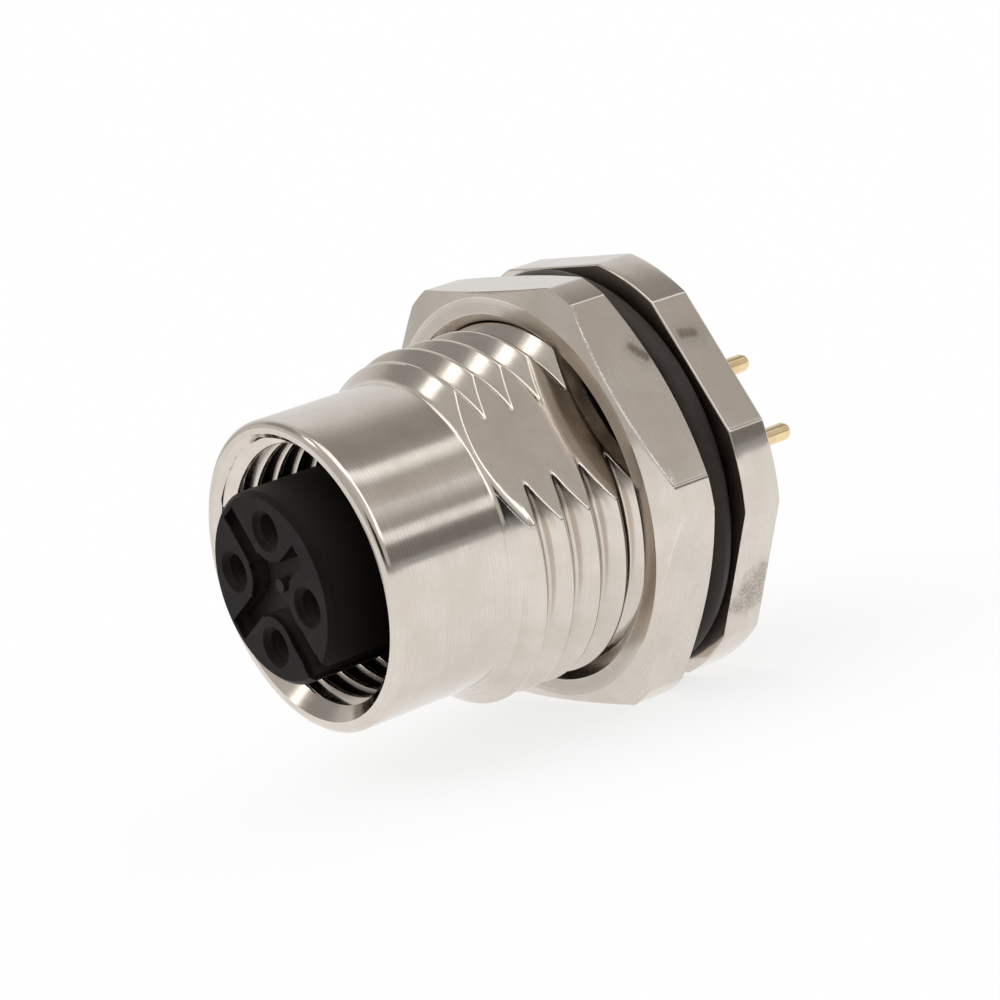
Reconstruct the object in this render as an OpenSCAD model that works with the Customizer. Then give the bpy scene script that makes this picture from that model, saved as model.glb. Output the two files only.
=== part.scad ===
// Four-pole panel socket for a round threaded plug, with its lock nut, panel seal and solder tails.
// It lies along Y: the mating face looks to -Y, the tails point to +Y, and flange flats face up and down.
// The origin is on the axis in the plane of the flange's front face, where the panel seal seats.
// Below, heights run along the axis from that plane, positive towards the mating face.

/* [Panel thread] */
// Outer diameter of the panel thread
thread_d = 15.2; // [14:0.1:18]
// Distance from one thread groove to the next
thread_pitch = 1.411; // [1.2:0.001:1.6]
// Angle between the two flanks of a thread groove
thread_angle = 80; // [70:1:90]
// Length of the threaded stretch in front of the flange
thread_l = 10; // [8.5:0.1:14]
// Depth of the flat that keys the shell in its panel hole, below the thread's crests
key_depth = 0.85; // [0.5:0.05:1]

/* [Sleeve] */
// How far the plain sleeve lies below the thread's crests
sleeve_step = 0.95; // [0.8:0.05:1.2]
// Length of the plain sleeve
sleeve_l = 5.8; // [4:0.1:9]
// Wall of the sleeve, outside the coupling thread
sleeve_wall = 0.65; // [0.55:0.05:1]
// Radius of the rounded outer edge of the mouth
rim_round = 0.35; // [0.1:0.05:0.4]

/* [Flange and nut] */
// How far the hexagon flats stand above the thread's crests
hex_step = 1.4; // [1.2:0.1:2.5]
// Bevel along the edges of the flange
edge_bevel = 0.12; // [0.05:0.01:0.2]
// Thickness of the flange
flange_t = 1.9; // [1.4:0.1:4]
// How far the flange's turned corners stand out past its flats
flange_corner = 0.54; // [0.3:0.02:1.2]
// Thickness of the nut
nut_t = 2.8; // [2.2:0.1:4]
// How far the nut's turned corners stand out past its flats
nut_corner = 1; // [0.5:0.05:1.3]
// Height of the bevel at the nut's corners
nut_bevel = 0.5; // [0.3:0.05:0.7]
// Angle of that bevel, from the nut's faces
nut_bevel_lean = 27; // [22:1:35]
// How far the nut stands turned from the flange's flats
nut_twist = -1.4; // [-30:0.1:30]
// Width of the countersink on the nut's front face
nut_sink = 0.4; // [0.2:0.05:0.6]
// Width of the countersink on the nut's rear face
nut_rear_sink = 0.35; // [0.2:0.05:0.6]

/* [Coupling thread] */
// Distance from one inner groove to the next
coupling_pitch = 1; // [0.8:0.05:1.2]
// Angle between the two flanks of an inner groove
coupling_angle = 60; // [55:1:70]
// Length of the inner thread, measured from the rim
coupling_l = 6.4; // [4:0.1:7]
// Depth of the mouth, from the rim to the web
mouth_depth = 7.6; // [7.1:0.1:9]

/* [Web and rear bore] */
// Thickness of the web that the insert passes through
web_t = 1.6; // [1:0.1:2.5]
// Wall between the key flat and the bore behind the web
rear_wall = 0.75; // [0.5:0.05:1.2]

/* [Seals] */
// Thickness of the round ring that seals the panel
panel_seal_t = 1.4; // [1:0.05:1.8]
// Thickness of the round ring that seals the insert
insert_seal_t = 1.2; // [0.8:0.05:1.4]

/* [Contact insert] */
// Diameter of the insert's tower
tower_d = 8.2; // [7.6:0.05:8.8]
// How far the tower stands out of the mouth
tower_reach = 1.4; // [0:0.1:2.5]
// Bevel round the tower's face
tower_bevel = 0.2; // [0.05:0.05:0.3]
// Depth of the cross-shaped recess in the tower's face
recess_depth = 0.9; // [0.4:0.05:1.2]
// Radius of the middle of the recess
recess_r = 1.55; // [1.4:0.05:1.8]
// Radius of the raised lobe round each contact hole
lobe_r = 1.3; // [1.1:0.05:1.4]
// Width of the keyway along the tower
keyway_w = 1.3; // [1.2:0.05:1.4]
// Depth of the keyway below the tower's wall
keyway_depth = 0.75; // [0.4:0.05:0.8]
// Height of the moulding pip in the middle of the recess
pip_h = 0.45; // [0.2:0.05:0.8]
// Diameter of the moulding pip
pip_d = 0.6; // [0.4:0.05:1]
// How deep the tower sits in the retainer
seat_depth = 1.5; // [1:0.1:2]
// How deep the retainer lies below the flange's rear face
retainer_recess = 0.4; // [0.1:0.1:1]

/* [Contacts] */
// Distance from a contact's axis to the tower's wall
contact_edge = 1.55; // [1.3:0.05:1.6]
// Bore of a contact's socket
socket_d = 0.96; // [0.9:0.01:1.1]
// Depth of a contact's socket
socket_depth = 5.5; // [4:0.1:8]
// Wall of a contact's socket
socket_wall = 0.37; // [0.3:0.01:0.42]
// Width of the slits that make the socket springy
slit_w = 0.15; // [0.1:0.01:0.2]
// Length of the slits
slit_l = 3.6; // [2:0.1:3.9]
// How far each contact's mouth lies below the tower's face
contact_setback = 1; // [0.8:0.05:2]
// How far the holes in the tower's face stand clear of a contact's bore
hole_margin = 0.17; // [0.1:0.01:0.2]
// Width of the funnel round each of those holes
funnel_w = 0.25; // [0.1:0.01:0.3]
// Width of the shoulder that the retainer holds
shoulder_w = 0.3; // [0.15:0.01:0.32]
// Thickness of that shoulder
shoulder_t = 0.8; // [0.5:0.05:1.2]
// Diameter of a solder tail
tail_d = 0.8; // [0.6:0.05:1]
// How far the stem in the retainer is thicker than the tail, on each side
stem_step = 0.4; // [0.2:0.05:0.5]
// How far the tails stand out behind the flange
tail_reach = 6.9; // [3:0.1:12]

/* [Clearances] */
// Radial clearance of the nut and the panel seal on the thread's crests
thread_clear = 0.05; // [0.02:0.01:0.1]
// Gap on each side of the panel seal, between nut and flange
seal_gap = 0.05; // [0.02:0.01:0.2]
// Gap round the insert's pieces and the contacts
fit_gap = 0.03; // [0.01:0.01:0.05]

/* [Hidden] */
$fn = 96;
cut = 1;

// Radii of the panel thread, with a narrow land left on its crests and roots
crest_r = thread_d / 2;
thread_land = thread_pitch / 10;
thread_depth = (thread_pitch - 2 * thread_land) / 2 / tan(thread_angle / 2);
root_r = crest_r - thread_depth;
groove_w = thread_pitch - thread_land;
groove_count = floor((thread_l - groove_w / 2) / thread_pitch);
key_flat = crest_r - key_depth;

// Radii of the sleeve and of the coupling thread inside it
sleeve_r = crest_r - sleeve_step;
coupling_r = sleeve_r - sleeve_wall;
coupling_land = coupling_pitch / 8;
coupling_groove_w = coupling_pitch - 2 * coupling_land;
coupling_depth = (coupling_groove_w - coupling_land) / 2 / tan(coupling_angle / 2);
coupling_crest_r = coupling_r - coupling_depth;
mouth_r = coupling_r + sleeve_wall / 6;
coupling_lead = mouth_r - coupling_crest_r;
coupling_count = floor((coupling_l - coupling_lead) / coupling_pitch);
rear_bore_r = key_flat - rear_wall;

// Heights along the shell
mouth_h = thread_l + sleeve_l;
web_front_h = mouth_h - mouth_depth;
web_rear_h = web_front_h - web_t;
flange_rear_h = -flange_t;

// Directions round the axis: 0 points to +X and 90 points up
hex_turn = 30;
key_turn = 30;
keyway_turn = 300;
contact_turn = 75;
contact_count = 4;

// Nut, flange and seals
hex_af = thread_d + 2 * hex_step;
nut_rear_h = panel_seal_t + 2 * seal_gap;
nut_front_h = nut_rear_h + nut_t;
nut_bore_r = crest_r + thread_clear;
nut_bevel_w = nut_bevel / tan(nut_bevel_lean);
retainer_front_h = web_rear_h - insert_seal_t - 2 * fit_gap;
retainer_rear_h = flange_rear_h + retainer_recess;
retainer_r = rear_bore_r - fit_gap;

// Insert and contacts
tower_r = tower_d / 2;
tower_face_h = mouth_h + tower_reach;
tower_rear_h = retainer_front_h - seat_depth;
contact_r = tower_r - contact_edge;
hole_d = socket_d + 2 * hole_margin;
barrel_d = socket_d + 2 * socket_wall;
barrel_tip_h = tower_face_h - contact_setback;
shoulder_d = barrel_d + 2 * shoulder_w;
shoulder_front_h = tower_rear_h + shoulder_t;
stem_d = tail_d + 2 * stem_step;
tail_tip_h = flange_rear_h - tail_reach;

// The arms of the recess: direction, width and reach
arms = [
  [30, 0.9, contact_r + 0.5],
  [120, 0.9, tower_r - 0.4],
  [210, 0.95, tower_r - 0.4],
  [keyway_turn, keyway_w - 0.15, tower_r + cut],
];

// Lays a shape that was modelled upright along the socket's axis
module along_axis() {
  rotate([90, 0, 0]) children();
}

// Places a shape at one contact's position
module at_contact(i) {
  rotate([0, 0, contact_turn + i * 360 / contact_count]) translate([contact_r, 0, 0]) children();
}

// Round bar between two heights
module bar(d, from_h, to_h) {
  translate([0, 0, from_h]) cylinder(d = d, h = to_h - from_h);
}

// Hexagon bar between two heights
module hex_bar(from_h, to_h) {
  point_r = hex_af / 2 / cos(30);
  translate([0, 0, from_h]) linear_extrude(height = to_h - from_h)
    polygon([for (k = [0:5]) let (a = hex_turn + 30 + 60 * k) point_r * [cos(a), sin(a)]]);
}

// Hexagon block between two heights, with bevelled edges along its flats
module hex_block(from_h, to_h) {
  half = hex_af / 2;
  section = [
    [-half, from_h + edge_bevel], [-half + edge_bevel, from_h],
    [half - edge_bevel, from_h], [half, from_h + edge_bevel],
    [half, to_h - edge_bevel], [half - edge_bevel, to_h],
    [-half + edge_bevel, to_h], [-half, to_h - edge_bevel],
  ];
  intersection_for (k = [0:2])
    rotate([0, 0, hex_turn + 60 * k]) rotate([90, 0, 0])
      linear_extrude(height = 2 * hex_af, center = true) polygon(section);
}

// Round blank with both edges turned off, which takes the corners off a hexagon
module turned_blank(r, from_h, to_h, bevel_h, bevel_r) {
  rotate_extrude() polygon([
    [0, from_h], [r - bevel_r, from_h], [r, from_h + bevel_h],
    [r, to_h - bevel_h], [r - bevel_r, to_h], [0, to_h],
  ]);
}

// Half section of the threaded stretch, with one ring groove per turn and a turned start
module thread_section() {
  grooves = [
    for (i = [groove_count - 1:-1:0])
      for (p = [[crest_r, -groove_w], [root_r, -thread_land], [root_r, thread_land], [crest_r, groove_w]])
        [p[0], thread_l - thread_pitch * (i + 1) + p[1] / 2]
  ];
  intersection() {
    polygon(concat([[0, 0], [crest_r, 0]], grooves, [[crest_r, thread_l + cut], [0, thread_l + cut]]));
    polygon([[0, 0], [crest_r, 0], [crest_r, thread_l - sleeve_step], [sleeve_r, thread_l], [0, thread_l]]);
  }
}

// Half section of the plain sleeve, with its rounded rim
module sleeve_section() {
  polygon([
    [0, 0], [sleeve_r, 0], [sleeve_r, mouth_h - rim_round],
    [sleeve_r - rim_round, mouth_h - rim_round], [sleeve_r - rim_round, mouth_h], [0, mouth_h],
  ]);
  intersection() {
    translate([sleeve_r - rim_round, mouth_h - rim_round]) circle(r = rim_round);
    translate([0, mouth_h - rim_round]) square([sleeve_r, rim_round]);
  }
}

// Half section of the mouth's hollow, with one ring groove per turn of the coupling thread
module mouth_section() {
  first_h = mouth_h - coupling_lead - coupling_pitch / 2;
  grooves = [
    for (i = [coupling_count - 1:-1:0])
      for (p = [
        [coupling_crest_r, -coupling_groove_w], [coupling_r, -coupling_land],
        [coupling_r, coupling_land], [coupling_crest_r, coupling_groove_w],
      ])
        [p[0], first_h - coupling_pitch * i + p[1] / 2]
  ];
  polygon(concat(
    [[0, web_front_h], [coupling_crest_r, web_front_h]],
    grooves,
    [[coupling_crest_r, mouth_h - coupling_lead], [mouth_r, mouth_h]],
    [[mouth_r, mouth_h + cut], [0, mouth_h + cut]]
  ));
}

// Turned shell: sleeve, panel thread and hexagon flange in one piece
module shell() {
  color("silver") along_axis() difference() {
    union() {
      rotate_extrude() {
        thread_section();
        sleeve_section();
      }
      intersection() {
        hex_block(flange_rear_h, 0);
        turned_blank(hex_af / 2 + flange_corner, flange_rear_h, 0, edge_bevel, edge_bevel);
      }
    }
    rotate_extrude() mouth_section();
    bar(tower_d + 2 * fit_gap, web_rear_h - cut, web_front_h + cut);
    bar(2 * rear_bore_r, flange_rear_h - cut, web_rear_h);
    rotate([0, 0, key_turn]) translate([key_flat, -thread_d, 0]) cube([thread_d, 2 * thread_d, thread_l]);
  }
}

// Hexagon lock nut, bored to clear the thread's crests
module lock_nut() {
  color("silver") along_axis() difference() {
    intersection() {
      rotate([0, 0, nut_twist]) hex_bar(nut_rear_h, nut_front_h);
      turned_blank(hex_af / 2 + nut_corner, nut_rear_h, nut_front_h, nut_bevel, nut_bevel_w);
    }
    rotate_extrude() polygon([
      [0, nut_rear_h - cut], [nut_bore_r + nut_rear_sink + cut, nut_rear_h - cut],
      [nut_bore_r, nut_rear_h + nut_rear_sink], [nut_bore_r, nut_front_h - nut_sink],
      [nut_bore_r + nut_sink + cut, nut_front_h + cut], [0, nut_front_h + cut],
    ]);
  }
}

// Ring of round section, lying on a given height
module ring(inner_r, section_t, mid_h) {
  translate([0, 0, mid_h]) rotate_extrude() translate([inner_r + section_t / 2, 0]) circle(d = section_t);
}

// Rubber ring between the flange and the panel or the nut
module panel_seal() {
  color("#1b1a19") along_axis() ring(crest_r + thread_clear, panel_seal_t, seal_gap + panel_seal_t / 2);
}

// Rubber ring round the tower, packed between the web and the retainer
module insert_seal() {
  color("#1b1a19") along_axis()
    ring(tower_r + fit_gap, insert_seal_t, retainer_front_h + fit_gap + insert_seal_t / 2);
}

// Outline of the cross-shaped recess between the four lobes
module recess_outline() {
  difference() {
    union() {
      circle(r = recess_r);
      for (a = arms)
        rotate([0, 0, a[0]]) translate([0, -a[1] / 2]) square([a[2], a[1]]);
    }
    for (i = [0:contact_count - 1])
      at_contact(i) circle(r = lobe_r);
  }
}

// Moulded insert: a tower with four contact passages, a keyway and a recessed face
module contact_insert() {
  floor_h = tower_face_h - recess_depth;
  color("#2b2929") along_axis() {
    difference() {
      rotate_extrude() polygon([
        [0, tower_rear_h], [tower_r, tower_rear_h], [tower_r, tower_face_h - tower_bevel],
        [tower_r - tower_bevel, tower_face_h], [0, tower_face_h],
      ]);
      translate([0, 0, floor_h]) linear_extrude(height = recess_depth + cut) recess_outline();
      rotate([0, 0, keyway_turn]) translate([tower_r - keyway_depth, -keyway_w / 2, web_front_h])
        cube([tower_d, keyway_w, tower_face_h]);
      for (i = [0:contact_count - 1]) at_contact(i) {
        bar(hole_d, barrel_tip_h, tower_face_h + cut);
        bar(barrel_d + 2 * fit_gap, shoulder_front_h, barrel_tip_h + fit_gap);
        bar(shoulder_d + 2 * fit_gap, tower_rear_h - cut, shoulder_front_h + fit_gap);
        translate([0, 0, tower_face_h - funnel_w])
          cylinder(d1 = hole_d, d2 = hole_d + 2 * (funnel_w + cut), h = funnel_w + cut);
      }
    }
    bar(pip_d, floor_h - fit_gap, floor_h + pip_h);
  }
}

// Plug that closes the rear bore, seats the tower and holds the contacts' shoulders
module contact_retainer() {
  color("#2b2929") along_axis() difference() {
    bar(2 * retainer_r, retainer_rear_h, retainer_front_h);
    bar(tower_d + 2 * fit_gap, tower_rear_h, retainer_front_h + cut);
    for (i = [0:contact_count - 1])
      at_contact(i) bar(stem_d + 2 * fit_gap, retainer_rear_h - cut, retainer_front_h + cut);
  }
}

// Turned contact: slit socket in front, shoulder, stem, and a solder tail with a round tip
module contact(i) {
  color("#d8bd88") along_axis() at_contact(i) {
    difference() {
      union() {
        bar(barrel_d, shoulder_front_h, barrel_tip_h);
        bar(shoulder_d, tower_rear_h, shoulder_front_h);
      }
      bar(socket_d, barrel_tip_h - socket_depth, barrel_tip_h + cut);
      for (turn = [0, 90])
        rotate([0, 0, turn]) translate([-barrel_d, -slit_w / 2, barrel_tip_h - slit_l])
          cube([2 * barrel_d, slit_w, slit_l + cut]);
    }
    bar(stem_d, retainer_rear_h, tower_rear_h);
    bar(tail_d, tail_tip_h + tail_d / 2, retainer_rear_h);
    translate([0, 0, tail_tip_h + tail_d / 2]) sphere(d = tail_d);
  }
}

shell();
lock_nut();
panel_seal();
contact_insert();
insert_seal();
contact_retainer();
contact(0);  // contact_1
contact(1);  // contact_2
contact(2);  // contact_3
contact(3);  // contact_4
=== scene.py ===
# Looks of the four-pole panel socket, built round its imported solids.
# Points are worked out in millimetres as radius, height and turn. Height runs from the flange's
# front face to the mouth, along -Y, and turn is in degrees from +X towards +Z.
import math

import bmesh
import bpy
import numpy as np
from mathutils import Matrix


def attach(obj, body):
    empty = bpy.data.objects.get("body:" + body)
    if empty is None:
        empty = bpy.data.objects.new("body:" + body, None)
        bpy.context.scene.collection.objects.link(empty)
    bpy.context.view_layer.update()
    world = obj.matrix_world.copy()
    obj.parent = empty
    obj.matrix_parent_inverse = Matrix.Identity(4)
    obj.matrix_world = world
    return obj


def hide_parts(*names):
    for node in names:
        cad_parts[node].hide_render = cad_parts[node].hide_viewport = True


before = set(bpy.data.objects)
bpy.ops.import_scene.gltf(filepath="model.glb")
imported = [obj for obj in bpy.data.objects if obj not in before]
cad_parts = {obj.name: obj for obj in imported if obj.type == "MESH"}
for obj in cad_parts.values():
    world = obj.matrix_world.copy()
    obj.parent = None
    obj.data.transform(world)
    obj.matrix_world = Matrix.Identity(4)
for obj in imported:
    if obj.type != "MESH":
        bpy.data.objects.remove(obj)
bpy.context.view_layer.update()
mm = 0.001
mergeReach = 4e-7  # metres; points nearer than this are one
print("frame loaded:", ", ".join(sorted(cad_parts)))


def unit(values):
    # values held between nought and one
    return np.clip(values, 0, 1)


def softMin(a, b, reach):
    # the smaller of two arrays, rounded off where they come within reach of each other
    near = np.maximum(reach - np.abs(a - b), 0)
    return np.minimum(a, b) - near * near / (4 * reach)


def softMax(a, b, reach):
    # the larger of two arrays, rounded off in the same way
    return -softMin(-a, -b, reach)


def level(values, columns):
    # a column of numbers spread over all the columns of a grid
    return np.repeat(np.asarray(values, float)[:, None], columns, axis=1)


def putGrid(name, radius, height, turn, fold, marks=None, joined=True):
    # rows and columns of radius, height and turn become one closed skin: the first and last columns
    # meet, a joined grid's last row meets its first, and rows that fall together are merged
    angle = np.radians(turn)
    spots = np.stack([radius * np.cos(angle), -height, radius * np.sin(angle)], -1) * mm
    rows, columns = radius.shape
    here = np.arange(rows * columns).reshape(rows, columns)
    below = np.roll(here, -1, axis=0)
    if not joined:
        here, below = here[:-1], below[:-1]
    quads = np.stack([here[:, :-1], here[:, 1:], below[:, 1:], below[:, :-1]], -1)
    mesh = bpy.data.meshes.new(name)
    mesh.from_pydata(spots.reshape(-1, 3).tolist(), [], quads.reshape(-1, 4).tolist())
    for label, values in (marks or {}).items():
        layer = mesh.attributes.new(label, "FLOAT", "POINT")
        values = np.broadcast_to(values, radius.shape).astype(np.float32)
        layer.data.foreach_set("value", values.ravel())
    work = bmesh.new()
    work.from_mesh(mesh)
    bmesh.ops.remove_doubles(work, verts=work.verts, dist=mergeReach)
    bmesh.ops.recalc_face_normals(work, faces=work.faces)
    work.to_mesh(mesh)
    work.free()
    return finishMesh(name, mesh, fold)


def finishMesh(name, mesh, fold):
    # smooth faces, with sharp edges where the skin folds by more than the given angle
    mesh.polygons.foreach_set("use_smooth", np.ones(len(mesh.polygons), bool))
    mesh.set_sharp_from_angle(angle=math.radians(fold))
    piece = bpy.data.objects.new(name, mesh)
    bpy.context.scene.collection.objects.link(piece)
    print(name, len(mesh.polygons), "faces")
    return piece


def fitPiece(piece, look, node, body):
    # the piece gets its finish, stands in for a solid and moves with a body
    piece.data.materials.append(finishes[look])
    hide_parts(node)
    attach(piece, body)


def threadTurn(sizes, arcSteps, flankSteps):
    # one turn of a thread as offsets along the axis and radii, root to root, with the crest at zero:
    # two arcs of the given rounding, joined by straight flanks that lean by the flank angle
    pitch, crest, root, rounding = (sizes[part] for part in ("pitch", "crest", "root", "rounding"))
    sweep = math.radians(90 - sizes["flank"])
    depth = crest - root
    side = math.copysign(1, depth)
    straight = abs(depth) - 2 * rounding * (1 - math.cos(sweep))
    run = straight * math.tan(math.radians(sizes["flank"]))
    land = max(0, pitch / 2 - run - 2 * rounding * math.sin(sweep)) / 2
    swing = np.linspace(0, sweep, arcSteps + 1)
    arcRun = rounding * np.sin(swing)
    arcDrop = rounding * (1 - np.cos(swing)) * side
    between = np.linspace(0, 1, flankSteps + 1)[1:-1]
    first, last = land + arcRun[-1], pitch / 2 - land - arcRun[-1]
    half = np.concatenate([[0], land + arcRun, first + (last - first) * between,
                           pitch / 2 - land - arcRun[::-1], [pitch / 2]])
    flank = crest - arcDrop[-1] + (root + 2 * arcDrop[-1] - crest) * between
    reach = np.concatenate([[crest], crest - arcDrop, flank, root + arcDrop[::-1], [root]])
    keep = np.append(np.diff(half) > 1e-4, True)
    half, reach = half[keep], reach[keep]
    return np.concatenate([-half[::-1], half[1:]]), np.concatenate([reach[::-1], reach[1:]])


def threadLevel(profile, sizes, height, turn):
    # radius of a right-hand thread whose crest crosses its start height at turn zero
    pitch = sizes["pitch"]
    along = (height - sizes["start"] - pitch * turn / 360 + pitch / 2) % pitch - pitch / 2
    return np.interp(along, profile[0], profile[1])


def threadRows(profile, sizes, low, high, turn):
    # heights of the rows that follow the thread's own slope, held between two level end rows
    pitch, start = sizes["pitch"], sizes["start"]
    turns = np.arange(math.floor((low - start) / pitch) - 2, math.ceil((high - start) / pitch) + 2)
    base = (start + pitch * turns[:, None] + profile[0][None, :-1]).ravel()
    lowest, highest = low - pitch * turn.max() / 360, high - pitch * turn.min() / 360
    base = base[(base > lowest - 1e-9) & (base < highest + 1e-9)]
    ends = np.ones((1, len(turn)))
    sloped = np.clip(base[:, None] + pitch * turn[None, :] / 360, low, high)
    return np.concatenate([ends * low, sloped, ends * high])


class Wire:
    # one socket of a node tree, so that shader maths reads as plain sums
    def __init__(self, tree, socket=None):
        self.tree, self.socket = tree, socket

    def node(self, kind, settings=None, inputs=None, out=0):
        # adds any node: its settings first, then the values or wires of its sockets
        made = self.tree.nodes.new(kind)
        for key, value in (settings or {}).items():
            if key == "stops":
                ramp = made.color_ramp.elements
                while len(ramp) < len(value):
                    ramp.new(0.5)
                for spot, (place, shade) in zip(ramp, value):
                    spot.position = place
                    spot.color = (*shade, 1)
            else:
                setattr(made, key, value)
        for key, value in (inputs or {}).items():
            if isinstance(value, Wire):
                self.tree.links.new(value.socket, made.inputs[key])
            elif isinstance(value, tuple) and made.inputs[key].type == "RGBA":
                made.inputs[key].default_value = (*value, 1)
            else:
                made.inputs[key].default_value = value
        return Wire(self.tree, made.outputs[out] if len(made.outputs) else None)

    def outs(self, *names):
        # other outputs of the node that this wire comes from
        return tuple(Wire(self.tree, self.socket.node.outputs[name]) for name in names)

    def maths(self, operation, *values):
        # one Math node
        return self.node("ShaderNodeMath", {"operation": operation}, dict(enumerate(values)))

    def vector(self, operation, *values, out=0):
        # one Vector Math node; its second output is a number
        return self.node("ShaderNodeVectorMath", {"operation": operation}, dict(enumerate(values)), out)

    def __add__(self, other):
        return self.maths("ADD", self, other)

    def __sub__(self, other):
        return self.maths("SUBTRACT", self, other)

    def __rsub__(self, other):
        return self.maths("SUBTRACT", other, self)

    def __mul__(self, other):
        return self.maths("MULTIPLY", self, other)

    def __truediv__(self, other):
        return self.maths("DIVIDE", self, other)

    def __rtruediv__(self, other):
        return self.maths("DIVIDE", other, self)

    def __pow__(self, other):
        return self.maths("POWER", self, other)

    __radd__ = __add__
    __rmul__ = __mul__

    def most(self, limit):
        # this value, or the limit where that is smaller
        return self.maths("MINIMUM", self, limit)

    def least(self, limit):
        # this value, or the limit where that is larger
        return self.maths("MAXIMUM", self, limit)

    def rise(self, low, high):
        # nought below low, one above high, and a smooth climb between them
        return self.node("ShaderNodeMapRange", {"interpolation_type": "SMOOTHSTEP"},
                         {0: self, 1: low, 2: high, 3: 0.0, 4: 1.0})

    def tint(self, first, second):
        # a colour that goes from first to second as this value goes from nought to one
        return self.node("ShaderNodeMix", {"data_type": "RGBA"}, {0: self, 6: first, 7: second}, out=2)

    def grain(self, scale, detail, rough):
        # noise over this vector
        return self.node("ShaderNodeTexNoise", {}, {"Vector": self, "Scale": scale, "Detail": detail,
                                                    "Roughness": rough})


def startTree(owner):
    # a pen for the owner's emptied node tree
    owner.use_nodes = True
    owner.node_tree.nodes.clear()
    return Wire(owner.node_tree)


def startFinish(name):
    # an empty material, and the object's own place in millimetres as a vector and as its parts
    finish = bpy.data.materials.new(name)
    pen = startTree(finish)
    place = pen.node("ShaderNodeVectorMath", {"operation": "SCALE"},
                     {0: pen.node("ShaderNodeTexCoord", out=3), "Scale": 1 / mm})
    x, y, z = pen.node("ShaderNodeSeparateXYZ", {}, {0: place}).outs(0, 1, 2)
    return finish, pen, place, x, y, z


def closeFinish(finish, pen, inputs, height, distance, strength):
    # the shader itself, with a bump of the given height
    bump = pen.node("ShaderNodeBump", {}, {"Strength": strength, "Distance": distance, "Height": height})
    shader = pen.node("ShaderNodeBsdfPrincipled", {}, {**inputs, "Normal": bump})
    pen.node("ShaderNodeOutputMaterial", {}, {"Surface": shader})
    return finish


def awayFrom(pen, place, start, end):
    # distance from the straight line between two places
    start, end = np.array(start, float), np.array(end, float)
    length = max(float(np.linalg.norm(end - start)), 1e-6)
    way = (end - start) / length
    along = pen.vector("DOT_PRODUCT", place, tuple(way), out=1) - float(start @ way)
    along = along.least(0.0).most(length)
    nearest = pen.node("ShaderNodeVectorMath", {"operation": "SCALE"}, {0: tuple(way), "Scale": along})
    nearest = pen.vector("ADD", nearest, tuple(start))
    return pen.vector("DISTANCE", place, nearest, out=1)


nickelLook = {
    "bright": (0.70, 0.645, 0.585),   # clean plating
    "worn": (0.62, 0.562, 0.50),      # where the brass warms it
    "grimeAndPaintedShade": (0.20, 0.165, 0.13),     # smudges and grime, and the colour of painted shade and painted reflections
    "deep": (0.022, 0.018, 0.015),    # painted shade, near black, where the groove mark is strongest: inner thread roots, web, wedges, nut bore
    "rubbedHighlight": (0.80, 0.76, 0.71),     # painted highlight along the edges, lighter as if rubbed bare
    "roughness": 0.13,
    "feed": 0.17,                     # distance between lathe lines
    "lines": 9.0,                     # how closely the finer marks of the tool lie
    "clouds": 0.55, "mottle": 2.3, "specks": 9.0,   # grain of the plating, of stains and of flecks
    "bump": 0.0000025, "bumpStrength": 0.6,
}


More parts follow.
